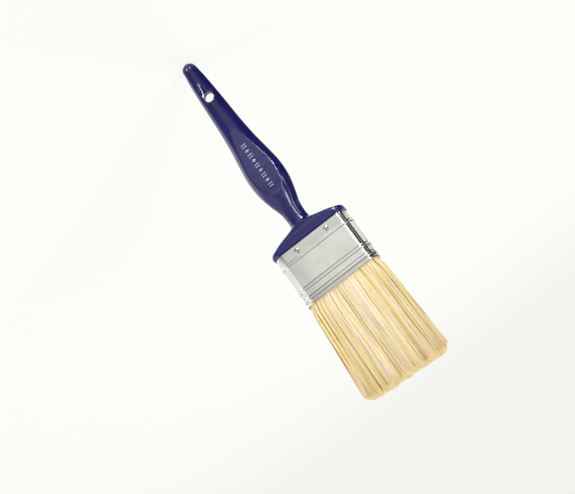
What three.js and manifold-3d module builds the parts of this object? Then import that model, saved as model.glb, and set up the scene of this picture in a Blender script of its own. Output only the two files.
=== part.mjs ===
// A flat wall-paint brush, 50 mm wide: a moulded handle, a plated steel ferrule nailed to it, and filaments
// set in resin round a spacer plug. All sizes are in millimetres.
//
// The origin is at the handle's hang end. +Z runs up the brush to the filament tips, X is across its
// width, and Y is through its thickness, with the front face towards -Y.

import * as THREE from 'three';
import { mergeVertices } from 'three/addons/utils/BufferGeometryUtils.js';
import Module from 'manifold-3d';

const wasm = await Module();
wasm.setup();

// ---- driving dimensions ----

const clearance = 0.3; // between pieces that touch on the real brush

const ferruleWidth = 50;
const ferruleThickness = 14.5;
const ferruleCorner = 4.7; // outer radius of its four upright corners
const ferruleHeight = 34;
const sheet = 0.5; // the steel's thickness
const beadHeight = 0.55; // how far each rolled bead stands out
const beadWidth = 1.9;
const beadHeights = [7.3, 24.5, 30.4]; // above the ferrule's handle edge
const lipHeight = 0.35; // the mouth's rolled edge
const lipWidth = 1.6;
const seamWidth = 4;
const seamHeight = 0.35;

const handleLength = 132.7; // hang end to the shoulder's seat
const hangRadius = 4.6; // of the round hang end
const hangThickness = 8.4;
const bellyAt = 83;
const bellyWidth = 23.4;
const bellyThickness = 14;
const neckWidth = 11.8;
const neckThickness = 11.6;
const shoulderHeight = 11;
const shoulderOverhang = 0.8; // past the ferrule on every side
const shoulderCorner = 5.4;

const holeAt = 25.6; // hang hole's height above the hang end
const holeDiameter = 6.2;
const scoopRadius = 4.1; // round the hang hole
const scoopLength = 11; // from the hole's centre to the scoop's point
const scoopDepth = 1.5;

const tenonLength = 12;
const corePocket = { width: 11, thickness: 6, depth: 9, spacing: 18 };

const nailSpacing = 21;
const nailInset = 3.3; // from the ferrule's handle edge to the nails' centres
const nailHeadDiameter = 3.1;
const nailShankDiameter = 1.5;
const nailLength = 5;
const nailHeadHeight = 0.5;
const nailFit = 0.25; // round each shank
const nailHeadGap = 0.1; // under each head

const resinHeight = 4;
const plugThickness = 3.6;
const plugWidth = 42;
const plugHeight = 9;

const filamentLength = 61; // out of the ferrule
const filamentSpread = 3.5; // how far the tips stand out past the ferrule on each narrow side
const filamentSwell = 0.35; // the same, past each broad face
const flexAngle = 35; // degrees that the filaments bend to each side
const tipRound = 3;

// ---- places worked out from them ----

const ferruleStart = handleLength + clearance;
const ferruleMouth = ferruleStart + ferruleHeight;
const filamentTips = ferruleMouth + filamentLength;
const innerWidth = ferruleWidth - 2 * sheet;
const innerThickness = ferruleThickness - 2 * sheet;
const innerCorner = ferruleCorner - sheet;
const fillWidth = innerWidth - 2 * clearance; // of everything that fills the ferrule
const fillThickness = innerThickness - 2 * clearance;
const fillCorner = innerCorner - clearance;
const tenonEnd = handleLength + tenonLength;
const resinStart = tenonEnd + clearance;
const rootStart = resinStart + resinHeight + clearance;
const flexRadians = THREE.MathUtils.degToRad(flexAngle);
// half the thickness of the bending filaments at the mouth, so that they clear the lip when bent
const hingeRadius = (innerThickness / 2 - clearance) * Math.cos(flexRadians) - 0.05;
const rootEnd = ferruleMouth - hingeRadius - clearance;

// ---- shape tools ----

const arcSteps = 7;
const ringPoints = 4 * (arcSteps + 1);

// A rounded rectangle at one height, anticlockwise from above.
function ring(z, width, thickness, radius) {
  const corner = Math.min(radius, width / 2, thickness / 2);
  const points = [];
  for (let quarter = 0; quarter < 4; quarter++) {
    const right = quarter === 0 || quarter === 3 ? 1 : -1;
    const back = quarter < 2 ? 1 : -1;
    for (let step = 0; step <= arcSteps; step++) {
      const angle = (quarter + step / arcSteps) * Math.PI / 2;
      points.push(new THREE.Vector3(
        right * (width / 2 - corner) + corner * Math.cos(angle),
        back * (thickness / 2 - corner) + corner * Math.sin(angle),
        z,
      ));
    }
  }
  return points;
}

// The middle of a flat end, where a stack of rings closes.
function pole(z) {
  return new Array(ringPoints).fill(new THREE.Vector3(0, 0, z));
}

// A skin over a stack of rings: a lathe's net of faces, laid over them.
function skin(rings) {
  const profile = rings.map((_, row) => new THREE.Vector2(1, row));
  const geometry = new THREE.LatheGeometry(profile, ringPoints);
  const position = geometry.attributes.position;
  for (let column = 0; column <= ringPoints; column++) {
    rings.forEach((points, row) => {
      const { x, y, z } = points[column % ringPoints];
      position.setXYZ(column * rings.length + row, x, y, z);
    });
  }
  return geometry;
}

// A closed solid over a stack of rings, with a flat end at each end of the stack.
function stack(rings) {
  return solid(skin([pole(rings[0][0].z), ...rings, pole(rings.at(-1)[0].z)]));
}

function solid(geometry, matrix = new THREE.Matrix4()) {
  const bare = geometry.clone().applyMatrix4(matrix);
  bare.deleteAttribute('normal');
  bare.deleteAttribute('uv');
  const merged = mergeVertices(bare);
  const corners = merged.index.array;
  const faces = [];
  for (let face = 0; face < corners.length; face += 3) {
    const [a, b, c] = corners.slice(face, face + 3);
    if (a !== b && b !== c && c !== a) faces.push(a, b, c);
  }
  return new wasm.Manifold(new wasm.Mesh({
    numProp: 3,
    vertProperties: new Float32Array(merged.attributes.position.array),
    triVerts: new Uint32Array(faces),
  }));
}

function box(width, thickness, height, x, y, z) {
  return solid(new THREE.BoxGeometry(width, thickness, height).translate(x, y, z));
}

// A cylinder along Y.
function crossBar(diameter, length, x, y, z, sides = 32) {
  const geometry = new THREE.CylinderGeometry(diameter / 2, diameter / 2, length, sides);
  return solid(geometry.translate(x, y, z));
}

function geometryOf(body) {
  const { vertProperties, triVerts } = body.getMesh();
  const geometry = new THREE.BufferGeometry();
  geometry.setAttribute('position', new THREE.BufferAttribute(vertProperties, 3));
  geometry.setIndex(new THREE.BufferAttribute(triVerts, 1));
  geometry.computeVertexNormals();
  return geometry;
}

// ---- materials ----

const navyPlastic = { color: 0x35316f, roughness: 0.28, metalness: 0 };
const platedSteel = { color: 0xd6d5cc, roughness: 0.24, metalness: 1 };
const nailSteel = { color: 0xb9b6ac, roughness: 0.3, metalness: 1 };
const amberResin = { color: 0xb08a4c, roughness: 0.35, metalness: 0 };
const plugWood = { color: 0xc9a877, roughness: 0.8, metalness: 0 };
const blondFilament = { color: 0xe8d193, roughness: 0.6, metalness: 0 };

const brush = new THREE.Group();

function add(name, geometry, finish) {
  const mesh = new THREE.Mesh(geometry, new THREE.MeshStandardMaterial(finish));
  mesh.name = name;
  brush.add(mesh);
  return mesh;
}

// ---- nails ----

// The four nails' places: two through the front wall and two through the back.
const nails = [];
for (const [face, back] of [['front', -1], ['back', 1]]) {
  for (const [side, x] of [['left', -nailSpacing / 2], ['right', nailSpacing / 2]]) {
    nails.push({ name: `${face}_${side}_nail`, x, back, z: ferruleStart + nailInset });
  }
}

// A nail stands along its own +Y, with its point at the origin's side and its domed head on top.
function nailGeometry() {
  const shank = nailShankDiameter / 2;
  const head = nailHeadDiameter / 2;
  const dome = new THREE.EllipseCurve(0, nailLength, head, nailHeadHeight, 0, Math.PI / 2);
  return new THREE.LatheGeometry([
    new THREE.Vector2(0, 0),
    new THREE.Vector2(shank, 2 * shank),
    new THREE.Vector2(shank, nailLength),
    ...dome.getPoints(5),
  ], 16);
}

for (const { name, x, back, z } of nails) {
  const headUnder = ferruleThickness / 2 + nailHeadGap;
  const nail = add(name, geometryOf(solid(nailGeometry())), nailSteel);
  nail.position.set(x, back * (headUnder - nailLength), z);
  nail.rotation.x = back > 0 ? 0 : Math.PI;
}

function nailHoles(diameter, depth) {
  const holes = nails.map(({ x, back, z }) =>
    crossBar(diameter, depth, x, back * (ferruleThickness / 2 + 1 - depth / 2), z, 16));
  return holes.reduce((all, hole) => all.add(hole));
}

// ---- handle ----

// The blade's height, width and thickness at its key stations, joined by a smooth curve.
const blade = new THREE.CatmullRomCurve3([
  new THREE.Vector3(hangRadius, 2 * hangRadius, hangThickness),
  new THREE.Vector3(13, 11, 9.2),
  new THREE.Vector3(holeAt, 12.8, 10),
  new THREE.Vector3(42, 14.3, 11.4),
  new THREE.Vector3(62, 18.6, 13),
  new THREE.Vector3(bellyAt, bellyWidth, bellyThickness),
  new THREE.Vector3(94, 21.6, 13.8),
  new THREE.Vector3(103, 16.4, 12.8),
  new THREE.Vector3(112, 12.6, 12),
  new THREE.Vector3(handleLength - shoulderHeight, neckWidth, neckThickness),
], false, 'centripetal');

// The round hang end, from its tip to the blade's first station.
function hangEnd(steps) {
  const rings = [];
  for (let step = 0; step < steps; step++) {
    const angle = step / steps * Math.PI / 2;
    const z = hangRadius * (1 - Math.cos(angle));
    const width = 2 * hangRadius * Math.sin(angle);
    const thickness = hangThickness * Math.sin(angle);
    rings.push(ring(z, width, thickness, thickness / 2));
  }
  return rings;
}

// The shoulder spreads in a hollow curve from the neck, then rounds over to its upright rim.
function shoulder(steps) {
  const fullWidth = ferruleWidth + 2 * shoulderOverhang;
  const fullThickness = ferruleThickness + 2 * shoulderOverhang;
  const neckZ = handleLength - shoulderHeight;
  const flare = new THREE.CubicBezierCurve(
    new THREE.Vector2(neckWidth / 2, neckZ),
    new THREE.Vector2(neckWidth / 2 + 1.5, neckZ + 3.4),
    new THREE.Vector2(fullWidth / 2 - 6, handleLength - 5.6),
    new THREE.Vector2(fullWidth / 2 - 2.2, handleLength - 3.9),
  );
  const rim = new THREE.EllipseCurve(
    fullWidth / 2 - 2.2, handleLength - 1.6, 2.2, 2.3, -Math.PI / 2, 0,
  );
  const outline = [...flare.getPoints(steps).slice(1), ...rim.getPoints(4).slice(1)];
  return outline.map(({ x: half, y: z }) => {
    const share = THREE.MathUtils.smoothstep(z, neckZ, neckZ + shoulderHeight * 0.55);
    const thickness = THREE.MathUtils.lerp(neckThickness, fullThickness, share);
    const radius = THREE.MathUtils.lerp(thickness / 2, shoulderCorner, share);
    return ring(z, 2 * half, thickness, radius);
  });
}

// A teardrop outline with its round end at the origin and its point up +Y.
function teardrop() {
  const shape = new THREE.Shape();
  const touch = Math.asin(scoopRadius / scoopLength) * 0.9;
  const from = new THREE.Vector2(Math.cos(touch), Math.sin(touch)).multiplyScalar(scoopRadius);
  shape.moveTo(from.x, from.y);
  shape.quadraticCurveTo(scoopRadius * 0.72, scoopLength * 0.55, 0, scoopLength);
  shape.quadraticCurveTo(-scoopRadius * 0.72, scoopLength * 0.55, -from.x, from.y);
  shape.absarc(0, 0, scoopRadius, Math.PI - touch, 2 * Math.PI + touch, false);
  return shape;
}

// The scoop's cutter on one face. Its floor slopes in from the point to the hang hole.
function scoop(back) {
  const height = 6;
  const slope = Math.atan2(scoopDepth, scoopLength);
  const geometry = new THREE.ExtrudeGeometry(teardrop(), {
    depth: height, bevelEnabled: false, curveSegments: 12,
  });
  const surface = bladeThicknessAt(holeAt - scoopLength) / 2;
  const matrix = new THREE.Matrix4()
    .makeTranslation(0, back * (surface - 0.05), holeAt - scoopLength)
    .multiply(new THREE.Matrix4().makeRotationX(back * slope))
    .multiply(new THREE.Matrix4().makeTranslation(0, 0, scoopLength))
    .multiply(new THREE.Matrix4().makeRotationX(-Math.PI / 2))
    .multiply(new THREE.Matrix4().makeTranslation(0, 0, back > 0 ? 0 : -height));
  return solid(geometry, matrix);
}

function bladeThicknessAt(z) {
  const points = blade.getPoints(200);
  return points.find((point) => point.x >= z).z;
}

// Pockets that core out the tenon, so that the moulding cools evenly. The nails pass between them.
function corePockets() {
  const { width, thickness, depth, spacing } = corePocket;
  const pockets = [-spacing, 0, spacing].map((x) =>
    box(width, thickness, depth + 1, x, 0, tenonEnd + 1 - (depth + 1) / 2));
  return pockets.reduce((all, pocket) => all.add(pocket));
}

function handle() {
  const bladeRings = blade.getSpacedPoints(34)
    .map(({ x: z, y: width, z: thickness }) => ring(z, width, thickness, thickness / 2));
  const chamfer = 0.8;
  const tenonRings = [
    ring(handleLength, fillWidth, fillThickness, fillCorner),
    ring(tenonEnd - chamfer, fillWidth, fillThickness, fillCorner),
    ring(tenonEnd, fillWidth - 2 * chamfer, fillThickness - 2 * chamfer, fillCorner - chamfer),
  ];
  const seat = ring(
    handleLength,
    ferruleWidth + 2 * shoulderOverhang,
    ferruleThickness + 2 * shoulderOverhang,
    shoulderCorner,
  );
  return stack([...hangEnd(6), ...bladeRings, ...shoulder(9), seat, ...tenonRings])
    .subtract(crossBar(holeDiameter, 2 * hangThickness, 0, 0, holeAt))
    .subtract(scoop(-1))
    .subtract(scoop(1))
    .subtract(corePockets())
    .subtract(nailHoles(nailShankDiameter + 2 * nailFit, nailLength + 2));
}

add('handle', geometryOf(handle()), navyPlastic);

// ---- ferrule ----

// Half round ribs that the rolling press leaves in the sheet, as steps out from its wall.
function bead(centre, width, height) {
  const arc = new THREE.EllipseCurve(0, centre, height, width / 2, -Math.PI / 2, Math.PI / 2);
  return arc.getPoints(6).map(({ x: out, y: z }) => [Math.max(out, 0), ferruleStart + z]);
}

function ferrule() {
  const outside = [
    [0, ferruleStart],
    ...beadHeights.flatMap((height) => bead(height, beadWidth, beadHeight)),
    ...bead(ferruleHeight - lipWidth / 2, lipWidth, lipHeight),
  ];
  const inside = [[-sheet, ferruleMouth], [-sheet, ferruleStart]];
  const rings = [...outside, ...inside, outside[0]].map(([out, z]) =>
    ring(z, ferruleWidth + 2 * out, ferruleThickness + 2 * out, ferruleCorner + out));
  // the lock seam, folded flat on the narrow side between the corners
  const seam = box(
    sheet + seamHeight, seamWidth, ferruleHeight - lipWidth,
    -ferruleWidth / 2 + (sheet - seamHeight) / 2, 0, ferruleStart + (ferruleHeight - lipWidth) / 2,
  );
  return solid(skin(rings))
    .add(seam)
    .subtract(nailHoles(nailShankDiameter + 2 * nailFit, nailLength + 2));
}

add('ferrule', geometryOf(ferrule()), platedSteel);

// ---- what the ferrule holds ----

// The resin that was poured over the filaments' root ends.
add('resin_setting', geometryOf(stack([
  ring(resinStart, fillWidth, fillThickness, fillCorner),
  ring(resinStart + resinHeight, fillWidth, fillThickness, fillCorner),
])), amberResin);

// The spacer plug parts the filaments into a front and a back stack, and leaves room for paint.
add('spacer_plug', new THREE.BoxGeometry(plugWidth, plugThickness, plugHeight)
  .translate(0, 0, rootStart + plugHeight / 2), plugWood);

// Half of a body, on one side of the gap that lies between the two stacks.
function half(body, back) {
  const size = 4 * ferruleWidth;
  const middle = back * (size / 2 + clearance / 2);
  return body.intersect(box(size, size, 2 * filamentTips, 0, middle, filamentTips));
}

function filamentRoots() {
  const pocketHeight = plugHeight + clearance;
  return stack([
    ring(rootStart, fillWidth, fillThickness, fillCorner),
    ring(rootEnd, fillWidth, fillThickness, fillCorner),
  ]).subtract(box(
    plugWidth + 2 * clearance, plugThickness + 2 * clearance, 2 * pocketHeight,
    0, 0, rootStart,
  ));
}

// The filaments past the mouth. Their lower end is round about the mouth, where they bend, and they
// swell to the ferrule's full size only where they clear its lip at the end of the bend.
function filaments() {
  const rings = [];
  for (const degrees of [-62, -40, -20]) {
    const angle = THREE.MathUtils.degToRad(degrees);
    const thickness = 2 * hingeRadius * Math.cos(angle);
    rings.push(ring(ferruleMouth + hingeRadius * Math.sin(angle), fillWidth, thickness, fillCorner));
  }
  const waistEnd = hingeRadius * Math.tan(flexRadians) + clearance;
  const fullStart = (ferruleThickness / 2) * Math.tan(flexRadians) + 2 * clearance;
  rings.push(ring(ferruleMouth, fillWidth, 2 * hingeRadius, fillCorner));
  rings.push(ring(ferruleMouth + waistEnd, fillWidth, 2 * hingeRadius, fillCorner));
  for (const share of [0, 0.35, 0.7, 1]) {
    const rise = THREE.MathUtils.lerp(fullStart, filamentLength - tipRound, share);
    rings.push(ring(
      ferruleMouth + rise,
      ferruleWidth + 2 * filamentSpread * share,
      ferruleThickness + 2 * filamentSwell * share,
      ferruleCorner,
    ));
  }
  rings.push(ring(
    filamentTips,
    ferruleWidth + 2 * filamentSpread - tipRound,
    ferruleThickness + 2 * filamentSwell - tipRound,
    ferruleCorner - tipRound / 2,
  ));
  return stack(rings);
}

for (const [face, back] of [['front', -1], ['back', 1]]) {
  add(`${face}_filament_roots`, geometryOf(half(filamentRoots(), back)), blondFilament);
  add(`${face}_filaments`, geometryOf(half(filaments(), back)), blondFilament);
}

export default brush;
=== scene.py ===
import itertools
import math

import bpy
import numpy as np
from mathutils import Matrix, Vector


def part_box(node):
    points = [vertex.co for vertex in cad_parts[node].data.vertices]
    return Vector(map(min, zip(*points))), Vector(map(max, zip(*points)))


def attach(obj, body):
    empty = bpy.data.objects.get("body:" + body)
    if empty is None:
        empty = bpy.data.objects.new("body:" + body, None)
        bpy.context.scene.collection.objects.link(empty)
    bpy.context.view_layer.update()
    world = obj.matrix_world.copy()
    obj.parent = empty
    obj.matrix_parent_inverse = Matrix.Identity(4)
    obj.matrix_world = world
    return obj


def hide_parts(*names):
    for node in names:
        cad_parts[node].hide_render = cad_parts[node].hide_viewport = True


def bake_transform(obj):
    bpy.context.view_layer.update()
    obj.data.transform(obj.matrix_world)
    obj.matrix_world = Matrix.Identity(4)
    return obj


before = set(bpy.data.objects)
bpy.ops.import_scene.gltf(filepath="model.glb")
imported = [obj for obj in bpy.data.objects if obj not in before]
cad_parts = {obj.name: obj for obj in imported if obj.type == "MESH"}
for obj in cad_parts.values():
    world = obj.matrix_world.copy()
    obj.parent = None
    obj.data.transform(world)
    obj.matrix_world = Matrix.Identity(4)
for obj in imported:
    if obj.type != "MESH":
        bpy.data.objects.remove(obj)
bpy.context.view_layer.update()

bpy.ops.object.select_all(action="DESELECT")

# ---- Handle ----
# One moulding in glossy navy polypropylene: a round-sided grip with a flat oval panel on each face, a
# hang hole in a drop-shaped scoop, a thin neck and a shoulder as wide as the ferrule. A tenon above
# the shoulder goes into the ferrule.

MM = 0.001

handle_low, handle_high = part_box("handle")
ferrule_low, ferrule_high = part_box("ferrule")
root_low, root_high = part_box("front_filament_roots")

SEAT = 132.7 * MM  # height of the shoulder's face that the ferrule stands on
SHOULDER_WIDTH = handle_high.x - handle_low.x
SHOULDER_THICKNESS = handle_high.y - handle_low.y
SHOULDER_CORNER = 5.9 * MM
SHOULDER_LENGTH = 11 * MM
NECK_HEIGHT = SEAT - SHOULDER_LENGTH
NECK_HALF = 6.15 * MM
NECK_HALF_THICKNESS = 5.8 * MM
RIM_ROUND = 2.2 * MM
RIM_FALL = 3.9 * MM  # from the shoulder's face back to where its rim starts
RING_POINTS = 64

# height, half width, half thickness in mm
GRIP_STATIONS = [
    (4.6, 4.6, 4.2),
    (13, 5.5, 4.7),
    (25.6, 6.4, 5.2),
    (38, 7.05, 5.8),
    (48, 7.55, 6.15),
    (62, 8.8, 7.3),
    (73, 10.35, 8.4),
    (84, 11.6, 9.1),
    (94.5, 11.1, 8),
    (104, 9, 6.35),
    (112, 6.7, 5.95),
    (121.7, 6.15, 5.8),
]
hole_half_thickness = GRIP_STATIONS[2][2]  # at the station nearest the hang hole
PANEL_HALF_THICKNESS = 6.4 * MM
HANG_HOLE_HEIGHT = 26.1 * MM
HANG_HOLE_RADIUS = 3.1 * MM
SCOOP_RADIUS = 4.1 * MM
SCOOP_DEPTH = 3.3 * MM
SCOOP_LENGTH = 11 * MM
SCOOP_SHIFT = 0.6 * MM  # past the hole, towards the belly
SCOOP_POINT_RADIUS = 0.3 * MM
COUNTERSINK_DEPTH = 0.5 * MM
COUNTERSINK_WIDTH = 0.9 * MM
COUNTERSINK_FLARE = 0.05 * MM
TENON_HEIGHT = handle_high.z
TENON_WIDTH = root_high.x - root_low.x
TENON_THICKNESS = 12.9 * MM
TENON_CORNER = 3.9 * MM
CLEAR = 2 * MM  # how far a cutter stands out of what it cuts


def through(stations, height):
    """The half width and half thickness at a height in mm, on a smooth curve through the stations."""
    heights = [station[0] for station in stations]
    place = max(i for i in range(len(stations) - 1) if heights[i] <= height)
    before = stations[max(place - 1, 0)]
    start, end = stations[place], stations[place + 1]
    after = stations[min(place + 2, len(stations) - 1)]
    span = end[0] - start[0]
    share = (height - start[0]) / span
    values = []
    for k in range(1, len(start)):
        leave = (end[k] - before[k]) / (end[0] - before[0]) * span
        arrive = (after[k] - start[k]) / (after[0] - start[0]) * span
        values.append(
            (2 * share**3 - 3 * share**2 + 1) * start[k]
            + (share**3 - 2 * share**2 + share) * leave
            + (3 * share**2 - 2 * share**3) * end[k]
            + (share**3 - share**2) * arrive
        )
    return values


def start_mesh(name):
    """An empty mesh object at the origin, open in edit mode."""
    bpy.ops.object.select_all(action="DESELECT")
    bpy.ops.mesh.primitive_plane_add(size=MM)
    made = bpy.context.object
    made.name = name
    bpy.ops.object.mode_set(mode="EDIT")
    bpy.ops.mesh.select_mode(type="VERT")
    bpy.ops.mesh.select_all(action="SELECT")
    bpy.ops.mesh.delete(type="VERT")
    return made


def round_ring(height, half_width, half_thickness):
    """An oval wire outline at one height."""
    centre = (0, 0, height)
    bpy.ops.mesh.primitive_circle_add(vertices=RING_POINTS, radius=1, location=centre)
    bpy.ops.transform.resize(value=(half_width, half_thickness, 1), center_override=centre)


def square_ring(height, width, thickness, corner, aside=0):
    """A wire outline at one height: a rectangle with its corners rounded."""
    centre = (aside, 0, height)
    bpy.ops.mesh.primitive_plane_add(size=1, location=centre)
    bpy.ops.transform.resize(value=(width, thickness, 1), center_override=centre)
    largest = min(width, thickness) / 2 * 0.999
    bpy.ops.mesh.bevel(
        offset=min(corner, largest), segments=RING_POINTS // 4 - 1, affect="VERTICES"
    )
    bpy.ops.mesh.delete(type="ONLY_FACE")


def skin_rings():
    """A wall of faces from ring to ring, closed at both ends."""
    bpy.ops.mesh.select_all(action="SELECT")
    bpy.ops.mesh.bridge_edge_loops()
    bpy.ops.mesh.select_all(action="DESELECT")
    bpy.ops.mesh.select_non_manifold()
    bpy.ops.mesh.edge_face_add()


def close_mesh():
    """Points that meet made one, faces turned outwards, and edit mode left."""
    bpy.ops.mesh.select_all(action="SELECT")
    bpy.ops.mesh.remove_doubles(threshold=0.01 * MM)
    bpy.ops.mesh.normals_make_consistent(inside=False)
    bpy.ops.object.mode_set(mode="OBJECT")


def flare_point(share):
    """Half width and height on the shoulder's curve, from the neck to its rim. The curve leaves the
    neck steeply and comes to the rim on a slant."""
    full = SHOULDER_WIDTH / 2
    corners = [
        (NECK_HALF, NECK_HEIGHT),
        (NECK_HALF + 1.4 * MM, NECK_HEIGHT + 2.4 * MM),
        (full - 7 * MM, SEAT - 6.6 * MM),
        (full - RIM_ROUND, SEAT - RIM_FALL),
    ]
    weights = [(1 - share) ** 3, 3 * share * (1 - share) ** 2, 3 * share**2 * (1 - share), share**3]
    half = sum(weight * corner[0] for weight, corner in zip(weights, corners))
    height = sum(weight * corner[1] for weight, corner in zip(weights, corners))
    return half, height


def shoulder_ring(half_width, height):
    """One outline of the shoulder, from the neck's round to a rectangle a little past half way up."""
    rise = min(max((height - NECK_HEIGHT) / (SEAT - NECK_HEIGHT) / 0.55, 0), 1)
    share = rise * rise * (3 - 2 * rise)
    neck_thickness = 2 * NECK_HALF_THICKNESS
    thickness = neck_thickness + share * (SHOULDER_THICKNESS - neck_thickness)
    corner = thickness / 2 + share * (SHOULDER_CORNER - thickness / 2)
    square_ring(height, 2 * half_width, thickness, corner)


# the hang end is a half ball, drawn out
handle = start_mesh("moulded_handle")
end_height, end_half_width, end_half_thickness = GRIP_STATIONS[0]
end_steps = 8
for step in range(1, end_steps):
    lean = step / end_steps * math.pi / 2
    round_ring(
        end_height * MM * (1 - math.cos(lean)),
        end_half_width * MM * math.sin(lean),
        end_half_thickness * MM * math.sin(lean),
    )
grip_rings = 52
for step in range(grip_rings):
    height_mm = end_height + step / grip_rings * (NECK_HEIGHT / MM - end_height)
    half_width, half_thickness = through(GRIP_STATIONS, height_mm)
    round_ring(height_mm * MM, half_width * MM, half_thickness * MM)
flare_steps = 12
for step in range(1, flare_steps + 1):
    shoulder_ring(*flare_point(step / flare_steps))
rim_steps = 6
for step in range(1, rim_steps + 1):
    lean = step / rim_steps * math.pi / 2
    shoulder_ring(
        SHOULDER_WIDTH / 2 - RIM_ROUND * (1 - math.sin(lean)),
        SEAT - RIM_FALL + RIM_ROUND * (1 - math.cos(lean)),
    )
shoulder_ring(SHOULDER_WIDTH / 2, SEAT)
step_up = 0.02 * MM  # keeps the tenon's first ring off the shoulder's last one
square_ring(SEAT + step_up, TENON_WIDTH, TENON_THICKNESS, TENON_CORNER)
square_ring(TENON_HEIGHT, TENON_WIDTH, TENON_THICKNESS, TENON_CORNER)
skin_rings()

# the flat oval panels: the grip's belly is cut off flat in front and behind
panel_end = NECK_HEIGHT - 8 * MM
for side in (-1, 1):
    bpy.ops.mesh.select_mode(type="FACE")
    bpy.ops.mesh.select_all(action="DESELECT")
    bpy.ops.object.mode_set(mode="OBJECT")
    for face in handle.data.polygons:
        face.select = face.center.z < panel_end
    bpy.ops.object.mode_set(mode="EDIT")
    bpy.ops.mesh.bisect(
        plane_co=(0, side * PANEL_HALF_THICKNESS, 0),
        plane_no=(0, side, 0),
        use_fill=True,
        clear_outer=True,
    )
bpy.ops.mesh.select_all(action="SELECT")
bpy.ops.mesh.quads_convert_to_tris()
close_mesh()


def cut_away(piece, cutter):
    """Cuts the cutter's shape out of the piece."""
    cut = piece.modifiers.new("cut", "BOOLEAN")
    cut.operation = "DIFFERENCE"
    cut.solver = "EXACT"
    cut.object = cutter
    bpy.ops.object.select_all(action="DESELECT")
    bpy.context.view_layer.objects.active = piece
    bpy.ops.object.modifier_apply(modifier=cut.name)
    bpy.data.objects.remove(cutter)
    bpy.ops.object.mode_set(mode="EDIT")
    close_mesh()


# the scoops: a well a little wider than the hole, with a floor that slopes up to a point
for side in (-1, 1):
    surface = side * through(GRIP_STATIONS, HANG_HOLE_HEIGHT / MM)[1] * MM
    outside = surface + side * CLEAR
    point_height = HANG_HOLE_HEIGHT - SCOOP_LENGTH
    point_surface = side * through(GRIP_STATIONS, point_height / MM)[1] * MM
    cutter = start_mesh("scoop_cutter")
    well = [
        (SCOOP_RADIUS * 1.12, outside),
        (SCOOP_RADIUS, surface),
        (SCOOP_RADIUS * 0.86, surface - side * SCOOP_DEPTH),
    ]
    for radius, depth in well:
        bpy.ops.mesh.primitive_circle_add(
            vertices=48,
            radius=radius,
            location=(0, depth, HANG_HOLE_HEIGHT + SCOOP_SHIFT),
            rotation=(math.pi / 2, 0, 0),
        )
    point = [(point_height - 1 * MM, outside), (point_height, point_surface)]
    for height, depth in point:
        bpy.ops.mesh.primitive_circle_add(
            vertices=8,
            radius=SCOOP_POINT_RADIUS,
            location=(0, depth, height),
            rotation=(math.pi / 2, 0, 0),
        )
    bpy.ops.mesh.select_all(action="SELECT")
    bpy.ops.mesh.convex_hull()
    close_mesh()
    cut_away(handle, cutter)

# every edge of a moulding is a little round, so the skin is made new with fine even faces and eased
bpy.ops.object.select_all(action="DESELECT")
handle.select_set(True)
bpy.context.view_layer.objects.active = handle
new_skin = handle.modifiers.new("skin", "REMESH")
new_skin.mode = "VOXEL"
new_skin.voxel_size = 0.42 * MM
bpy.ops.object.modifier_apply(modifier=new_skin.name)
ease = handle.modifiers.new("ease", "SMOOTH")
ease.factor = 0.5
ease.iterations = 7
bpy.ops.object.modifier_apply(modifier=ease.name)

# the hang hole, with a shallow countersink at each end that the cord runs over
cutter = start_mesh("hang_hole_cutter")
hole_end = hole_half_thickness * MM - SCOOP_DEPTH
wide_end = hole_end + COUNTERSINK_DEPTH
past_end = hole_end + 4 * CLEAR
hole_rings = [
    (-past_end, COUNTERSINK_WIDTH + COUNTERSINK_FLARE),
    (-wide_end, COUNTERSINK_WIDTH),
    (-hole_end, 0),
    (hole_end, 0),
    (wide_end, COUNTERSINK_WIDTH),
    (past_end, COUNTERSINK_WIDTH + COUNTERSINK_FLARE),
]
for depth, widen in hole_rings:
    bpy.ops.mesh.primitive_circle_add(
        vertices=64,
        radius=HANG_HOLE_RADIUS + widen,
        location=(0, depth, HANG_HOLE_HEIGHT),
        rotation=(math.pi / 2, 0, 0),
    )
skin_rings()
close_mesh()
cut_away(handle, cutter)
bpy.ops.object.shade_smooth_by_angle(angle=math.radians(30))


def colour(hex_code):
    """A linear colour from an sRGB hex code such as #1A1659."""
    parts = [int(hex_code[i : i + 2], 16) / 255 for i in (1, 3, 5)]
    linear = [part / 12.92 if part <= 0.04045 else ((part + 0.055) / 1.055) ** 2.4 for part in parts]
    return (*linear, 1)


def add_node(material, kind, settings=None, links=None):
    """Adds a node with its settings and what feeds its inputs."""
    made = material.node_tree.nodes.new(kind)
    for name, value in (settings or {}).items():
        if name in made.inputs:
            made.inputs[name].default_value = value
        else:
            setattr(made, name, value)
    for name, source in (links or {}).items():
        material.node_tree.links.new(source, made.inputs[name])
    return made


def new_material(name):
    """A material with no nodes in it yet."""
    material = bpy.data.materials.new(name)
    material.use_nodes = True
    material.node_tree.nodes.clear()
    return material


def finish_material(material, settings, links):
    """The surface shader, with its fixed settings and what feeds its inputs."""
    shader = add_node(material, "ShaderNodeBsdfPrincipled", settings, links)
    add_node(material, "ShaderNodeOutputMaterial", {}, {"Surface": shader.outputs["BSDF"]})


def ramp(material, source, stops):
    """A colour ramp with stops of (place, hex code)."""
    made = add_node(material, "ShaderNodeValToRGB", {}, {"Fac": source})
    while len(made.color_ramp.elements) < len(stops):
        made.color_ramp.elements.new(1)
    for element, (place, hex_code) in zip(made.color_ramp.elements, stops):
        element.position = place
        element.color = colour(hex_code)
    return made.outputs["Color"]


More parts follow.
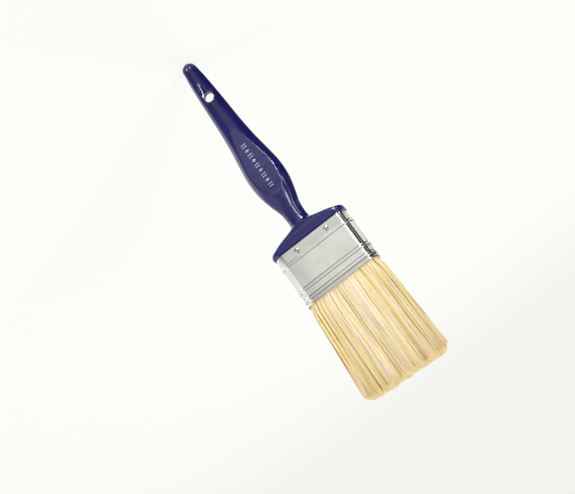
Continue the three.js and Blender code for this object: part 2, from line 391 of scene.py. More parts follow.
def moulded_polypropylene():
    """Navy polypropylene from a polished mould: deep even colour, sharp reflections that waver a little
    with the sink of the thick walls, and a faint haze where hands have rubbed it."""
    material = new_material("moulded_navy_polypropylene")
    place = add_node(material, "ShaderNodeTexCoord").outputs["Object"]
    cloud = add_node(material, "ShaderNodeTexNoise", {"Scale": 45, "Detail": 3}, {"Vector": place})
    tone = ramp(material, cloud.outputs["Fac"], [(0.3, "#18134F"), (0.7, "#1D185C")])
    # rubbing marks are 2 to 3 mm across
    rub = add_node(material, "ShaderNodeTexNoise", {"Scale": 400, "Detail": 5}, {"Vector": place})
    haze = add_node(
        material,
        "ShaderNodeMapRange",
        {"To Min": 0.13, "To Max": 0.24},
        {"Value": rub.outputs["Fac"]},
    )
    # the mould's polish leaves ripples about 1 mm apart
    ripple = add_node(material, "ShaderNodeTexNoise", {"Scale": 900, "Detail": 2}, {"Vector": place})
    bump = add_node(
        material,
        "ShaderNodeBump",
        {"Strength": 0.06, "Distance": 0.2 * MM},
        {"Height": ripple.outputs["Fac"]},
    )
    finish_material(
        material,
        {"IOR": 1.49},
        {
            "Base Color": tone,
            "Roughness": haze.outputs["Result"],
            "Normal": bump.outputs["Normal"],
        },
    )
    return material


def place_piece(piece, material, body, slot, *nodes):
    """Gives a finished piece its material and its body, and hides the CAD nodes that it stands for. The
    slot is not used.
    """
    piece.data.materials.clear()
    piece.data.materials.append(material)
    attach(piece, body)
    if nodes:
        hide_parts(*nodes)


place_piece(handle, moulded_polypropylene(), "held", "navy_plastic", "handle")

# ---- Stamped ornament ----
# A row of bars and lozenges raised 0.2 mm from the front panel and hot-stamped with silver foil, along
# the middle of the belly.

ORNAMENT_LOW = 66 * MM
ORNAMENT_PITCH = 3.6 * MM
ORNAMENT_HEIGHT = 0.2 * MM
ORNAMENT_WIDTH = 3.4 * MM
ORNAMENT_COUNT = 9  # pairs of bars and, between them, lozenges
LOZENGE_HALF = 1 * MM
BAR_HALF = 0.3 * MM
BAR_SHIFT = 0.8 * MM


def raised_outline(centre, corners):
    """A raised mark on the panel from the corners of its outline, each (across, along)."""
    bpy.ops.mesh.primitive_circle_add(
        vertices=len(corners),
        radius=MM,
        fill_type="NGON",
        location=centre,
        rotation=(math.pi / 2, 0, 0),
    )
    bpy.ops.object.mode_set(mode="OBJECT")
    chosen = [vertex for vertex in ornament.data.vertices if vertex.select]
    for vertex, (across, along) in zip(chosen, corners):
        vertex.co = Vector(centre) + Vector((across, 0, along))
    bpy.ops.object.mode_set(mode="EDIT")
    bpy.ops.mesh.extrude_region_move(TRANSFORM_OT_translate={"value": (0, -ORNAMENT_HEIGHT, 0)})
    bpy.ops.transform.resize(value=(0.88, 1, 0.8), center_override=centre)


ornament = start_mesh("raised_ornament")
panel_sink = 0.05 * MM
for place in range(ORNAMENT_COUNT):
    centre = (0, -PANEL_HALF_THICKNESS + panel_sink, ORNAMENT_LOW + place * ORNAMENT_PITCH)
    half = ORNAMENT_WIDTH / 2
    if place % 2:
        lozenge = [(-half, 0), (0, -LOZENGE_HALF), (half, 0), (0, LOZENGE_HALF)]
        raised_outline(centre, lozenge)
    else:
        for shift in (-BAR_SHIFT, BAR_SHIFT):
            bar_centre = (0, centre[1], centre[2] + shift)
            bar = [(-half, -BAR_HALF), (half, -BAR_HALF), (half, BAR_HALF), (-half, BAR_HALF)]
            raised_outline(bar_centre, bar)
close_mesh()


def silver_foil():
    """Hot-stamped silver foil: bright and a little dulled, thin enough that some of it has worn off."""
    material = new_material("hot_stamped_silver_foil")
    place = add_node(material, "ShaderNodeTexCoord").outputs["Object"]
    wear = add_node(material, "ShaderNodeTexNoise", {"Scale": 1500, "Detail": 4}, {"Vector": place})
    tone = ramp(material, wear.outputs["Fac"], [(0.3, "#7A7696"), (0.5, "#ACAABC")])
    finish_material(
        material, {"Metallic": 0.85, "Roughness": 0.32}, {"Base Color": tone}
    )
    return material


place_piece(ornament, silver_foil(), "held", "plated_steel")

# ---- Spacer plug, resin and filament roots ----
# Inside the ferrule: a beech spacer that leaves a well for paint, amber epoxy that holds the filaments,
# and the filaments' bound ends. They are the CAD nodes, and only their materials are given here.


def carried_over(material, *nodes):
    for name in nodes:
        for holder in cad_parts[name].material_slots:
            holder.material = material


def sawn_beech():
    """Sawn beech: pale pinkish wood with short darker flecks along the grain."""
    material = new_material("sawn_beech")
    place = add_node(material, "ShaderNodeTexCoord").outputs["Object"]
    grain_way = add_node(material, "ShaderNodeMapping", {"Scale": (60, 900, 900)}, {"Vector": place})
    grain = add_node(
        material,
        "ShaderNodeTexNoise",
        {"Scale": 1, "Detail": 6},
        {"Vector": grain_way.outputs["Vector"]},
    )
    tone = ramp(material, grain.outputs["Fac"], [(0.35, "#A67B4F"), (0.6, "#D3AD7F")])
    bump = add_node(
        material,
        "ShaderNodeBump",
        {"Strength": 0.4, "Distance": 0.1 * MM},
        {"Height": grain.outputs["Fac"]},
    )
    finish_material(
        material, {"Roughness": 0.7}, {"Base Color": tone, "Normal": bump.outputs["Normal"]}
    )
    return material


def cast_epoxy():
    """Epoxy poured warm: clear amber, darker where it is thick, with a wet gloss."""
    material = new_material("cast_amber_epoxy")
    place = add_node(material, "ShaderNodeTexCoord").outputs["Object"]
    depth = add_node(material, "ShaderNodeTexNoise", {"Scale": 180, "Detail": 3}, {"Vector": place})
    tone = ramp(material, depth.outputs["Fac"], [(0.35, "#7A4A14"), (0.65, "#B37A2C")])
    finish_material(material, {"IOR": 1.55, "Roughness": 0.15}, {"Base Color": tone})
    return material


def bound_filaments():
    """Filament ends packed tight: straw streaks about 0.3 mm wide along the brush."""
    material = new_material("bound_blond_filaments")
    place = add_node(material, "ShaderNodeTexCoord").outputs["Object"]
    lay = add_node(material, "ShaderNodeMapping", {"Scale": (3000, 3000, 40)}, {"Vector": place})
    streak = add_node(
        material,
        "ShaderNodeTexNoise",
        {"Scale": 1, "Detail": 3},
        {"Vector": lay.outputs["Vector"]},
    )
    tone = ramp(material, streak.outputs["Fac"], [(0.3, "#8C7035"), (0.65, "#E3C98A")])
    bump = add_node(
        material,
        "ShaderNodeBump",
        {"Strength": 0.8, "Distance": 0.2 * MM},
        {"Height": streak.outputs["Fac"]},
    )
    finish_material(
        material, {"Roughness": 0.5}, {"Base Color": tone, "Normal": bump.outputs["Normal"]}
    )
    return material


carried_over(sawn_beech(), "spacer_plug")
carried_over(cast_epoxy(), "resin_setting")
carried_over(bound_filaments(), "front_filament_roots", "back_filament_roots")

# ---- Ferrule ----
# A band of tinplate steel 0.5 mm thick. It is rolled with three beads and a turned lip, bent round to
# stand on the handle's shoulder, closed with a folded lock seam on one narrow side, and crimped in at
# its handle edge.

SHEET = 0.5 * MM
BEAD_HEIGHT = 0.42 * MM
BEAD_WIDTH = 1.9 * MM
BEAD_CROWN = 1.1 * MM
# place above the ferrule's handle edge, and depth of the groove before the bead
BEADS = [(7.3 * MM, 0.05 * MM), (24.5 * MM, 0.17 * MM), (30.4 * MM, 0.12 * MM)]
GROOVE_WIDTH = 0.66 * MM
LIP_HEIGHT = 0.35 * MM
LIP_WIDTH = 1.2 * MM
CRIMP = 0.3 * MM
CRIMP_LENGTH = 6.2 * MM
FERRULE_WIDTH = 50 * MM
FERRULE_THICKNESS = 14.5 * MM
FERRULE_CORNER = 5.6 * MM
SEAM_WIDTH = 4 * MM
SEAM_HEIGHT = 0.35 * MM
SEAM_CORNER = 0.25 * MM
MOUTH_ROUND = 0.35 * MM
MOUTH_TURN_IN = 0.3 * MM
RING_GAP = 0.08 * MM
ferrule_start, ferrule_mouth = ferrule_low.z, ferrule_high.z


def hump(distance, half_width):
    """A smooth hump of height 1."""
    if abs(distance) >= half_width:
        return 0
    return (1 + math.cos(math.pi * distance / half_width)) / 2


def wall_out(height):
    """How far the rolled wall stands out at a height. Each bead has a flat crown, a narrow groove before
    it and a faint swell after it. The handle edge is crimped in, and the mouth turned out and rounded."""
    above = height - ferrule_start
    out = -CRIMP * max(1 - above / CRIMP_LENGTH, 0)
    flank = (BEAD_WIDTH - BEAD_CROWN) / 2
    for bead_place, groove_depth in BEADS:
        past = above - bead_place
        tail = 0.08 if past > 0 else 0
        out += BEAD_HEIGHT * (1 - tail) * hump(max(abs(past) - BEAD_CROWN / 2, 0), flank)
        out += BEAD_HEIGHT * tail * hump(past, 1.3 * BEAD_WIDTH)
        out -= groove_depth * hump(past + BEAD_WIDTH / 2 + GROOVE_WIDTH / 3, GROOVE_WIDTH / 2)
    below = ferrule_mouth - height
    out += LIP_HEIGHT * hump(max(below - LIP_WIDTH / 2, 0), LIP_WIDTH / 2)
    out -= MOUTH_TURN_IN * max(1 - below / MOUTH_ROUND, 0) ** 2
    return out


def bend_at(height):
    """How sharply the wall curves at a height."""
    return wall_out(height - RING_GAP) + wall_out(height + RING_GAP) - 2 * wall_out(height)


# rings where the wall curves, and one more on each side so that the flats between stay flat
ring_count = round((ferrule_mouth - ferrule_start) / RING_GAP)
ferrule_profile = []
for ring in range(ring_count + 1):
    height = ferrule_start + ring * RING_GAP
    curved = any(abs(bend_at(height + step * RING_GAP)) > 0.00001 * MM for step in (-1, 0, 1))
    if ring in (0, ring_count) or curved:
        ferrule_profile.append((wall_out(height), min(height, ferrule_mouth)))

ferrule = start_mesh("rolled_ferrule")
for out, height in ferrule_profile:
    square_ring(
        height, FERRULE_WIDTH + 2 * out, FERRULE_THICKNESS + 2 * out, FERRULE_CORNER + out
    )
bpy.ops.mesh.select_all(action="SELECT")
bpy.ops.mesh.bridge_edge_loops()
close_mesh()
wall = ferrule.modifiers.new("wall", "SOLIDIFY")
wall.thickness = SHEET
wall.offset = -1
bpy.ops.object.modifier_apply(modifier=wall.name)
bpy.ops.object.shade_smooth_by_angle(angle=math.radians(40))

seam = start_mesh("lock_seam")
for out, height in ferrule_profile:
    square_ring(
        height,
        2 * SEAM_HEIGHT,
        SEAM_WIDTH,
        SEAM_CORNER,
        aside=-FERRULE_WIDTH / 2 - out,
    )
skin_rings()
close_mesh()
bpy.ops.object.shade_smooth_by_angle(angle=math.radians(40))


def rolled_tinplate():
    """Tin-plated steel strip, rolled and hardly polished: bright, with fine lines along the strip that
    dull it unevenly, and a faint mottle in the plating."""
    material = new_material("rolled_tinplate_steel")
    place = add_node(material, "ShaderNodeTexCoord").outputs["Object"]
    mottle = add_node(material, "ShaderNodeTexNoise", {"Scale": 120, "Detail": 4}, {"Vector": place})
    tone = ramp(material, mottle.outputs["Fac"], [(0.3, "#DBDAD2"), (0.7, "#E4E3DC")])
    # rolling lines run round the ferrule, about 0.2 mm apart
    strip = add_node(material, "ShaderNodeMapping", {"Scale": (30, 30, 4000)}, {"Vector": place})
    lines = add_node(
        material,
        "ShaderNodeTexNoise",
        {"Scale": 1, "Detail": 4},
        {"Vector": strip.outputs["Vector"]},
    )
    dull = add_node(
        material,
        "ShaderNodeMapRange",
        {"To Min": 0.06, "To Max": 0.2},
        {"Value": lines.outputs["Fac"]},
    )
    bump = add_node(
        material,
        "ShaderNodeBump",
        {"Strength": 0.06, "Distance": 0.03 * MM},
        {"Height": lines.outputs["Fac"]},
    )
    finish_material(
        material,
        {"Metallic": 1},
        {
            "Base Color": tone,
            "Roughness": dull.outputs["Result"],
            "Normal": bump.outputs["Normal"],
        },
    )
    return material


tinplate = rolled_tinplate()
place_piece(ferrule, tinplate, "held", "plated_steel", "ferrule")
place_piece(seam, tinplate, "held", "plated_steel")

# ---- Nails ----
# Four steel nails with low domed heads, two on each face, driven through the ferrule into the tenon.

NAIL_HEAD_RADIUS = 1.55 * MM
NAIL_SHANK_RADIUS = 0.75 * MM
NAIL_LENGTH = 5 * MM
NAIL_DOME = 0.7 * MM
NAIL_GAP = 0.1 * MM


def nail_material():
    """Drawn steel wire, headed and left bright: greyer than the plating, with a hammer's fine marks."""
    material = new_material("headed_steel_nail")
    place = add_node(material, "ShaderNodeTexCoord").outputs["Object"]
    marks = add_node(material, "ShaderNodeTexNoise", {"Scale": 1800, "Detail": 3}, {"Vector": place})
    tone = ramp(material, marks.outputs["Fac"], [(0.3, "#9A9A94"), (0.7, "#C9C8C2")])
    bump = add_node(
        material,
        "ShaderNodeBump",
        {"Strength": 0.1, "Distance": 0.05 * MM},
        {"Height": marks.outputs["Fac"]},
    )
    finish_material(
        material,
        {"Metallic": 1, "Roughness": 0.15},
        {"Base Color": tone, "Normal": bump.outputs["Normal"]},
    )
    return material


def domed_nail(across, height):
    """A nail in the front wall, turned out of a small disc: its shank drawn out and its head domed."""
    point = -FERRULE_THICKNESS / 2 - NAIL_GAP + NAIL_LENGTH
    bpy.ops.object.select_all(action="DESELECT")
    bpy.ops.mesh.primitive_circle_add(
        vertices=24,
        radius=NAIL_SHANK_RADIUS,
        fill_type="NGON",
        location=(across, point, height),
        rotation=(math.pi / 2, 0, 0),
    )
    made = bpy.context.object
    bpy.ops.object.transform_apply(location=True, rotation=True, scale=True)
    bpy.ops.object.mode_set(mode="EDIT")
    bpy.ops.mesh.select_all(action="SELECT")
    steps = [(NAIL_LENGTH, 1), (0, NAIL_HEAD_RADIUS / NAIL_SHANK_RADIUS)]
    dome_steps = 6
    for step in range(1, dome_steps + 1):
        lean, last = step / dome_steps, (step - 1) / dome_steps
        rise = NAIL_DOME * (math.sin(lean * math.pi / 2) - math.sin(last * math.pi / 2))
        narrow = math.sqrt(1 - (lean * 0.985) ** 2) / math.sqrt(1 - (last * 0.985) ** 2)
        steps.append((rise, narrow))
    reached = point
    for out, scale in steps:
        reached -= out
        bpy.ops.mesh.extrude_region_move(TRANSFORM_OT_translate={"value": (0, -out, 0)})
        bpy.ops.transform.resize(
            value=(scale, 1, scale), center_override=(across, reached, height)
        )
    close_mesh()
    bpy.ops.object.shade_smooth_by_angle(angle=math.radians(50))
    return made


nail_names = sorted(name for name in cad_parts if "nail" in name)
nail_places = {name: sum(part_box(name), Vector()) / 2 for name in nail_names}
model_place = next(place for place in nail_places.values() if place.y < 0)
model_nail = domed_nail(model_place.x, model_place.z)
headed_steel = nail_material()
for name in nail_names:
    # a back nail is the front one turned half round the brush's middle line
    turned = Matrix.Rotation(math.pi if nail_places[name].y > 0 else 0, 4, "Z")
    aside = nail_places[name] - turned @ model_place
    nail = model_nail.copy()
    nail.data = model_nail.data.copy()
    nail.data.transform(Matrix.Translation(aside) @ turned)
    bpy.context.scene.collection.objects.link(nail)
    nail.name = "domed_" + name
    place_piece(nail, headed_steel, "held", "nail_steel", name)
bpy.data.objects.remove(model_nail)

# ---- Filaments ----
# Thousands of blond tapered filaments set in the resin: packed tight in the ferrule, and spreading a
# little towards uneven tips in tufts, and in locks within the tufts. One filament is modelled, and the
# others are copies of it, each with its own place, length, bend and tone.

FILAMENT_COUNT = 12000
FILAMENT_RADIUS = 0.18 * MM
LOCK_COUNT = 1400
TUFT_COUNT = 60
PACKED_WIDTH = 48.3 * MM
PACKED_THICKNESS = 12.8 * MM
SWOLLEN_WIDTH = 50.3 * MM
SWOLLEN_THICKNESS = 14.5 * MM
TIP_WIDTH = 55.6 * MM
TIP_THICKNESS = 14.9 * MM
TIP_ASIDE = 1.2 * MM  # the bundle leans a little to one side
TIP_PROUD = 5.6 * MM  # the longest filaments past the bundle's solid
# how much painted shade darkens the filaments' cut ends
TIP_PAINTED_SHADE = 0.12
TIP_SLANT = 1.1 * MM  # the tips stand this much higher on the left than in the middle
CORNER_DROP = 2.6 * MM
EDGE_DROP = 0.9 * MM
TUFT_PULL = 0.07
SWELL_START = 0.2 * MM
SWELL_LENGTH = 6 * MM
filament_start = root_low.z
tip_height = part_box("front_filaments")[1].z

# share of a filament's length, and its thickness against the ring before
FILAMENT_RINGS = [
    (0.17, 1),
    (0.23, 1),
    (0.29, 1),
    (0.36, 0.99),
    (0.45, 0.98),
    (0.57, 0.96),
    (0.71, 0.95),
    (0.84, 0.92),
    (0.945, 0.88),
    (0.975, 0.8),
    (1, 0.4),
]
# painted shade at the cut ends starts at this share of a filament's length
CUT_END_SHADE_START = 0.945  # from this share on, the filament darkens to its cut end


def one_filament():
    """A four-sided wire of length 1 and radius 1, with rings closer together at the bend, and a tip."""
    start_mesh("one_filament")
    bpy.ops.mesh.primitive_circle_add(vertices=4, radius=1, location=(0, 0, 0))
    reached = 0
    for height, radius_change in FILAMENT_RINGS:
        bpy.ops.mesh.extrude_region_move(
            TRANSFORM_OT_translate={"value": (0, 0, height - reached)}
        )
        bpy.ops.transform.resize(
            value=(radius_change, radius_change, 1), center_override=(0, 0, height)
        )
        reached = height
    bpy.ops.mesh.edge_face_add()
    close_mesh()
    made = bpy.context.object
    points = np.array([vertex.co for vertex in made.data.vertices])
    faces = [list(face.vertices) for face in made.data.polygons]
    bpy.data.objects.remove(made)
    return points, faces


def inside_outline(random, count, corner_share=0.8):
    """Even random places in a rounded rectangle, each from -1 to 1 across and through."""
    places = np.zeros((0, 2))
    aspect = PACKED_THICKNESS / PACKED_WIDTH
    while len(places) < count:
        tried = random.uniform(-1, 1, (count, 2))
        past_across = np.maximum(np.abs(tried[:, 0]) - (1 - corner_share * aspect), 0) / aspect
        past_through = np.maximum(np.abs(tried[:, 1]) - (1 - corner_share), 0)
        keep = np.hypot(past_across, past_through) <= corner_share
        places = np.vstack([places, tried[keep]])
    return places[:count]


random = np.random.default_rng(7)
filament_points, filament_faces = one_filament()
roots = inside_outline(random, FILAMENT_COUNT)
locks = inside_outline(random, LOCK_COUNT)
tufts = inside_outline(random, TUFT_COUNT)
lock_scale = np.array([PACKED_WIDTH, PACKED_THICKNESS]) / 2


def nearest(centres):
    """The number of the centre nearest to each root."""
    distance = np.linalg.norm((roots[:, None, :] - centres[None, :, :]) * lock_scale, axis=2)
    return distance.argmin(axis=1)


lock_of = nearest(locks)
tuft_of = nearest(tufts)

# each lock leans its own way, pulls its filaments together, and has its own length and tone
lock_lean = random.normal(0, 0.25 * MM, (LOCK_COUNT, 2))
lock_pull = random.uniform(0, 0.2, LOCK_COUNT)
lock_short = random.gamma(1.6, 0.4 * MM, LOCK_COUNT)
# and so do the larger tufts that the locks lie in
tuft_lean = random.normal(0, 0.35 * MM, (TUFT_COUNT, 2))
tuft_short = random.gamma(2, 0.5 * MM, TUFT_COUNT)
lock_tone = random.normal(0, 0.04, LOCK_COUNT)
lock_wave = random.normal(0, 0.12 * MM, (LOCK_COUNT, 2))

stray = random.normal(0, 0.45 * MM, (FILAMENT_COUNT, 2))
short = random.gamma(1.1, 0.6 * MM, FILAMENT_COUNT)
tone = 0.71 + lock_tone[lock_of] + random.normal(0, 0.18, FILAMENT_COUNT)
# a few filaments are brown and a few nearly white
tone += random.choice([-0.5, 0, 0.3], FILAMENT_COUNT, p=[0.11, 0.83, 0.06])
# painted highlight: the middle of the bundle is lightened and its sides darkened, standing in for the
# light on its middle
tone += 0.12 * (0.5 - np.abs(roots[:, 0]))  # the middle is the palest
thick = random.uniform(0.75, 1.5, FILAMENT_COUNT)
wave = lock_wave[lock_of] + random.normal(0, 0.15 * MM, (FILAMENT_COUNT, 2))
turned = random.uniform(0, math.pi / 2, FILAMENT_COUNT)

tip_scale = np.array([TIP_WIDTH, TIP_THICKNESS]) / 2
root_places = roots * lock_scale
swollen_places = roots * np.array([SWOLLEN_WIDTH, SWOLLEN_THICKNESS]) / 2
pulled = roots + (locks[lock_of] - roots) * lock_pull[lock_of][:, None]
pulled += (tufts[tuft_of] - roots) * TUFT_PULL
tip_places = pulled * tip_scale + [TIP_ASIDE, 0] + lock_lean[lock_of] + tuft_lean[tuft_of] + stray
tip_limit = tip_scale + [1.2 * MM, 0.7 * MM]
tip_places = np.clip(tip_places, -tip_limit + [TIP_ASIDE, 0], tip_limit + [TIP_ASIDE, 0])
# the tips fall away at the corners, more on the right, and towards the front and back
corner_drop = CORNER_DROP * np.abs(roots[:, 0]) ** 9 * np.where(roots[:, 0] > 0, 1.7, 1)
edge_drop = EDGE_DROP * np.abs(roots[:, 1]) ** 4
tip_slant = -TIP_SLANT * roots[:, 0]
tips = tip_height + TIP_PROUD + tip_slant - corner_drop - edge_drop
tips -= short + lock_short[lock_of] + tuft_short[tuft_of]


def filament_mesh(name, chosen):
    """One mesh of all the chosen filaments."""
    lengths = tips[chosen] - filament_start
    heights = filament_start + filament_points[None, :, 2] * lengths[:, None]
    free = np.clip((heights - ferrule_mouth) / (tip_height - ferrule_mouth), 0, 1)
    # the bundle swells over the lip as it leaves it, then spreads evenly
    swell = np.clip((heights - ferrule_mouth - SWELL_START) / SWELL_LENGTH, 0, 1)
    swell = swell * swell * (3 - 2 * swell)
    path = (
        root_places[chosen][:, None, :]
        + (swollen_places - root_places)[chosen][:, None, :] * swell[:, :, None]
        + (tip_places - swollen_places)[chosen][:, None, :] * (free**1.08)[:, :, None]
        + wave[chosen][:, None, :] * np.sin(free * math.pi * 1.3)[:, :, None]
    )
    angle = turned[chosen][:, None]
    size = FILAMENT_RADIUS * thick[chosen][:, None]
    across = filament_points[None, :, 0] * np.cos(angle) - filament_points[None, :, 1] * np.sin(angle)
    through_brush = (
        filament_points[None, :, 0] * np.sin(angle) + filament_points[None, :, 1] * np.cos(angle)
    )
    points = np.stack(
        [path[:, :, 0] + across * size, path[:, :, 1] + through_brush * size, heights], axis=2
    )
    count = len(filament_points)
    faces = [
        [corner + number * count for corner in face]
        for number in range(len(chosen))
        for face in filament_faces
    ]
    mesh = bpy.data.meshes.new(name)
    mesh.from_pydata(points.reshape(-1, 3), [], faces)
    mesh.shade_smooth()
    shade = mesh.attributes.new("filament_tone_and_painted_light", "FLOAT", "POINT")
    # painted shade: the filaments are darkened towards their cut ends, standing in for the shade down
    # among the tips
    cut_end_shade_share = np.clip((filament_points[:, 2] - CUT_END_SHADE_START) / (1 - CUT_END_SHADE_START), 0, 1)
    shades = tone[chosen][:, None] - TIP_PAINTED_SHADE * cut_end_shade_share[None, :]
    shade.data.foreach_set("value", shades.ravel().astype(np.float32))
    made = bpy.data.objects.new(name, mesh)
    bpy.context.scene.collection.objects.link(made)
    return made


def blond_filament():
    """Blond synthetic filament, drawn and tapered: straw to cream from one to the next, here and there a
    brown or a nearly white one, and a soft gleam along each."""
    material = new_material("drawn_blond_filament")
    place = add_node(material, "ShaderNodeTexCoord").outputs["Object"]
    # the filament's own tone, with painted shade at its cut end and a painted highlight in the bundle's
    # middle
    own = add_node(material, "ShaderNodeAttribute", {"attribute_name": "filament_tone_and_painted_light"})
    # the tone drifts along a filament over 12 mm or so
    lay = add_node(material, "ShaderNodeMapping", {"Scale": (2600, 2600, 80)}, {"Vector": place})
    drift = add_node(
        material,
        "ShaderNodeTexNoise",
        {"Scale": 1, "Detail": 2},
        {"Vector": lay.outputs["Vector"]},
    )
    change = add_node(
        material,
        "ShaderNodeMapRange",
        {"To Min": -0.16, "To Max": 0.16},
        {"Value": drift.outputs["Fac"]},
    )
    total = add_node(material, "ShaderNodeMath", {"operation": "ADD"})
    material.node_tree.links.new(own.outputs["Fac"], total.inputs[0])
    material.node_tree.links.new(change.outputs["Result"], total.inputs[1])
    shades = ramp(
        material,
        total.outputs["Value"],
        [
            (0.0, "#A07C33"),
            (0.12, "#C9A552"),
            (0.32, "#EBCE7C"),
            (0.52, "#F6DF93"),
            (0.72, "#FBECB9"),
            (0.92, "#FEF0E4"),
        ],
    )
    finish_material(
        material, {"IOR": 1.53, "Roughness": 0.42}, {"Base Color": shades}
    )
    return material


drawn_filament = blond_filament()
# six bundles: left, middle and right of the front and of the back
sides = {"left": (-1, -1 / 3), "middle": (-1 / 3, 1 / 3), "right": (1 / 3, 1)}
faces = {"front": roots[:, 1] < 0, "back": roots[:, 1] >= 0}
for face, side in itertools.product(faces, sides):
    side_from, side_to = sides[side]
    members = faces[face] & (roots[:, 0] >= side_from) & (roots[:, 0] < side_to)
    bundle = filament_mesh(f"{face}_{side}_filaments", np.flatnonzero(members))
    bundle.data.materials.append(drawn_filament)
    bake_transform(bundle)
    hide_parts(f"{face}_filaments")

# ---- Studio ----
# A white table under a bright tent, with a large soft box up to the left, a smaller one to the right
# and one behind. Round the brush stand black cloths, papers and thin lamps, which show only in the
# reflections in its plastic and steel, as a product photographer sets them.

# the brush is seen from a little above its middle, and the camera is rolled over so that it hangs
VIEW_FROM = math.radians(-6.34)
VIEW_DOWN = math.radians(17.03)
VIEW_ROLL = math.radians(144.17)
VIEW_DISTANCE = 0.9
view_target = Vector((0, 0, 0.118))
back = Vector(
    (
        math.sin(VIEW_FROM) * math.cos(VIEW_DOWN),
        -math.cos(VIEW_FROM) * math.cos(VIEW_DOWN),
        math.sin(VIEW_DOWN),
    )
)
camera_data = bpy.data.cameras.new("camera")
camera_data.lens = 97.2
camera = bpy.data.objects.new("camera", camera_data)
bpy.context.scene.collection.objects.link(camera)
camera_place = view_target + back * VIEW_DISTANCE
aim = Vector((14.6 * MM, 0, 129 * MM))  # beside the neck
upright = (camera_place - aim).to_track_quat("Z", "Y").to_matrix().to_4x4()
camera.matrix_world = (
    Matrix.Translation(camera_place)
    @ upright
    @ Matrix.Rotation(VIEW_ROLL, 4, "Z")
)
bpy.context.scene.camera = camera
bpy.context.scene.view_settings.view_transform = "Standard"

bpy.ops.object.select_all(action="DESELECT")
bpy.ops.mesh.primitive_plane_add(size=60)
table = bpy.context.object
table.name = "white_table"
table_finish = new_material("white_laminate")
lit = add_node(table_finish, "ShaderNodeBsdfDiffuse", {"Color": colour("#6C6C6B")})
glow = add_node(table_finish, "ShaderNodeEmission", {"Color": colour("#FFFFFC"), "Strength": 0.8})
both = add_node(table_finish, "ShaderNodeAddShader")
table_finish.node_tree.links.new(lit.outputs[0], both.inputs[0])
table_finish.node_tree.links.new(glow.outputs[0], both.inputs[1])
add_node(table_finish, "ShaderNodeOutputMaterial", {}, {"Surface": both.outputs[0]})
table.data.materials.append(table_finish)

world = bpy.data.worlds.new("bright_tent")
bpy.context.scene.world = world
world.use_nodes = True
# the tent is brightest where it meets the table
sky_place = add_node(world, "ShaderNodeTexCoord").outputs["Generated"]
sky_parts = add_node(world, "ShaderNodeSeparateXYZ", {}, {"Vector": sky_place})
sky_glow = add_node(
    world,
    "ShaderNodeMapRange",
    {"From Min": 0.02, "From Max": 0.4, "To Min": 0.97, "To Max": 0.6},
    {"Value": sky_parts.outputs["Z"]},
)
tent = world.node_tree.nodes["Background"]
tent.inputs["Color"].default_value = colour("#FBFBFA")
world.node_tree.links.new(sky_glow.outputs["Result"], tent.inputs["Strength"])


def soft_box(name, place, size, power):
    """A square light at a place in metres, turned to the brush's middle."""
    light = bpy.data.lights.new(name, "AREA")
    light.size = size
    light.energy = power
    made = bpy.data.objects.new(name, light)
    bpy.context.scene.collection.objects.link(made)
    made.location = place
    made.rotation_euler = (Vector(place) - view_target).to_track_quat("Z", "Y").to_euler()


soft_box("left_soft_box", (-0.75, -0.75, 0.95), 0.6, 8)
soft_box("right_soft_box", (0.9, -0.6, 0.6), 0.5, 4.5)
soft_box("back_soft_box", (-0.1, 0.9, 0.9), 0.6, 6)


CARD_POINTS = 720  # half a degree each
CARD_LIFT = 0.5 * MM
LAMP_RADIUS = 100 * MM
RIGHT_RADIUS = 120 * MM
RING_RADIUS = 150 * MM
LEFT_RADIUS = 170 * MM
FOOT = 11 * MM  # where the lying cards start, clear of the brush's foot
RING_LOW = 86.5 * MM
RING_HIGH = 134 * MM
FRONT_TURNS = (-16, 14)
LEFT_TURNS = (38, 150)
RIGHT_TURNS = (-146, -80)
OUTLOOK_TURNS = (-24, 8)


def glowing(name, hex_code, strength):
    """Cloth or paper that gives off an even light, or nearly none."""
    material = new_material(name)
    shine = add_node(
        material, "ShaderNodeEmission", {"Color": colour(hex_code), "Strength": strength}
    )
    add_node(material, "ShaderNodeOutputMaterial", {}, {"Surface": shine.outputs[0]})
    return material


def paper(strength):
    return glowing(f"paper_{strength:g}".replace(".", "_"), "#FFFFFF", strength)


def keep_sector(card, turn_from, turn_to):
    """Cuts a ring round the brush down to what lies between two turns, in degrees to the left of the
    front."""
    bpy.ops.object.mode_set(mode="EDIT")
    bpy.ops.mesh.select_mode(type="FACE")
    bpy.ops.mesh.select_all(action="DESELECT")
    bpy.ops.object.mode_set(mode="OBJECT")
    for face in card.data.polygons:
        turn = math.degrees(math.atan2(-face.center.x, -face.center.y))
        face.select = not turn_from < turn < turn_to
    bpy.ops.object.mode_set(mode="EDIT")
    bpy.ops.mesh.delete(type="FACE")
    bpy.ops.object.mode_set(mode="OBJECT")


def reflections_only(card, material):
    """The card neither shows itself nor lights or shades what isn't shiny."""
    card.visible_camera = False
    card.visible_diffuse = False
    card.visible_shadow = False
    card.data.materials.append(material)


def standing_card(name, material, radius, turns, heights):
    """A card bent round the brush at a radius, between two turns and two heights."""
    low, high = heights
    bpy.ops.object.select_all(action="DESELECT")
    bpy.ops.mesh.primitive_cylinder_add(
        vertices=CARD_POINTS,
        radius=radius,
        depth=high - low,
        end_fill_type="NOTHING",
        location=(0, 0, (low + high) / 2),
    )
    card = bpy.context.object
    card.name = name
    keep_sector(card, *turns)
    reflections_only(card, material)


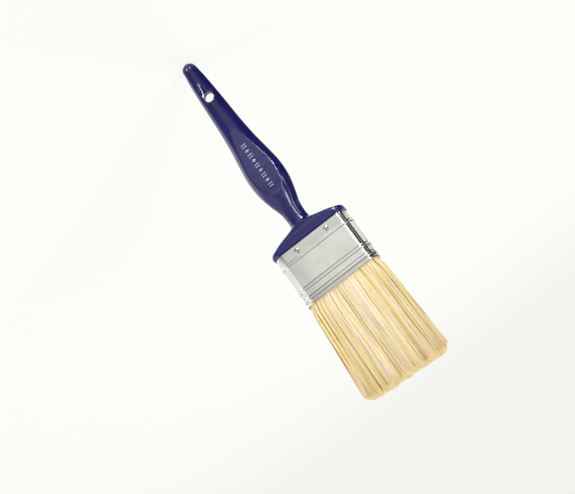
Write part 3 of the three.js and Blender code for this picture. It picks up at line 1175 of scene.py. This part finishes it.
def lying_card(name, material, inner, outer, turns):
    """A card on the table, part of a ring round the brush."""
    bpy.ops.object.select_all(action="DESELECT")
    bpy.ops.mesh.primitive_circle_add(
        vertices=CARD_POINTS, radius=inner, fill_type="NOTHING", location=(0, 0, CARD_LIFT)
    )
    card = bpy.context.object
    card.name = name
    bpy.ops.object.transform_apply(location=True)
    bpy.ops.object.mode_set(mode="EDIT")
    bpy.ops.mesh.select_mode(type="VERT")
    bpy.ops.mesh.select_all(action="SELECT")
    bpy.ops.mesh.extrude_edges_move()
    bpy.ops.transform.resize(
        value=(outer / inner, outer / inner, 1), center_override=(0, 0, CARD_LIFT)
    )
    bpy.ops.object.mode_set(mode="OBJECT")
    keep_sector(card, *turns)
    reflections_only(card, material)


# black cloth to the left keeps that side of the handle a deep navy
black_cloth = glowing("black_flag_cloth", "#202024", 1)
lying_card("left_floor_flag", black_cloth, FOOT, LEFT_RADIUS, LEFT_TURNS)
standing_card("left_near_flag", black_cloth, LEFT_RADIUS, LEFT_TURNS, (1 * MM, 82 * MM))
standing_card("left_far_flag", black_cloth, 400 * MM, LEFT_TURNS, (70 * MM, 500 * MM))

# papers on the table in front: from the foot out, they show in the grip, in the front panel, in the
# ferrule beside the nails and in the neck
lying_card("grip_paper", paper(0.85), FOOT, 130 * MM, FRONT_TURNS)
lying_card("panel_paper", paper(1.5), 130 * MM, 300 * MM, FRONT_TURNS)
lying_card("nail_band_paper", paper(0.72), 300 * MM, 420 * MM, FRONT_TURNS)
lying_card("neck_paper", paper(0.35), 420 * MM, 900 * MM, FRONT_TURNS)
lying_card("left_paper", paper(0.5), FOOT, 390 * MM, (FRONT_TURNS[1], LEFT_TURNS[0]))
lying_card("right_paper", paper(0.3), FOOT, 500 * MM, (RIGHT_TURNS[1], FRONT_TURNS[0]))

# two small lamps at the brush's foot put specks on the hang end
lying_card("foot_light", paper(20), 8.5 * MM, 10.5 * MM, (-30, -12))
lying_card("second_foot_light", paper(19), 8.5 * MM, 10.5 * MM, (14, 30))

# bright papers low on the right light that edge of the handle
low_heights = (1 * MM, 86 * MM)
lying_card("right_floor_paper", paper(2), FOOT, RIGHT_RADIUS, RIGHT_TURNS)
standing_card("right_low_paper", paper(2), RIGHT_RADIUS, RIGHT_TURNS, low_heights)
standing_card("back_low_paper", paper(1.2), RIGHT_RADIUS, (-179, RIGHT_TURNS[0]), low_heights)

# thin lamps draw a line down the front panel's edge and two down the neck
standing_card("panel_edge_lamp", paper(14), LAMP_RADIUS, (18, 46), (26 * MM, 50 * MM))
standing_card("panel_corner_lamp", paper(45), LAMP_RADIUS, (22, 42), (50 * MM, 72 * MM))
standing_card("neck_lamp", paper(30), LAMP_RADIUS, (28, 33), (76 * MM, 100 * MM))
standing_card("second_neck_lamp", paper(20.5), LAMP_RADIUS, (56, 60), (88 * MM, 100 * MM))

# a ring of papers at the ferrule's height, each from one turn to the next with its strength: pale in
# front, with two black strips that show in its left corner
ring_papers = [
    (-165, 1.05),
    (-30, 0.55),
    (-22, 0.74),
    (-13.5, 0.88),
    (-9.5, 0.93),
    (9, 1.3),
    (38, 0.015),
    (56, 0.4),
    (66, 0.016),
    (83, None),
]
ring_heights = (RING_LOW, RING_HIGH)
for (turn, strength), (next_turn, _) in zip(ring_papers, ring_papers[1:]):
    name = f"ferrule_paper_{turn + 180:g}".replace(".", "_")
    standing_card(name, paper(strength), RING_RADIUS, (turn, next_turn), ring_heights)

# far in front it is dim just above the table and dark higher up
standing_card("front_dim_paper", paper(0.6), 800 * MM, OUTLOOK_TURNS, (30 * MM, 160 * MM))
standing_card("front_flag", paper(0.12), 800 * MM, OUTLOOK_TURNS, (160 * MM, 1100 * MM))
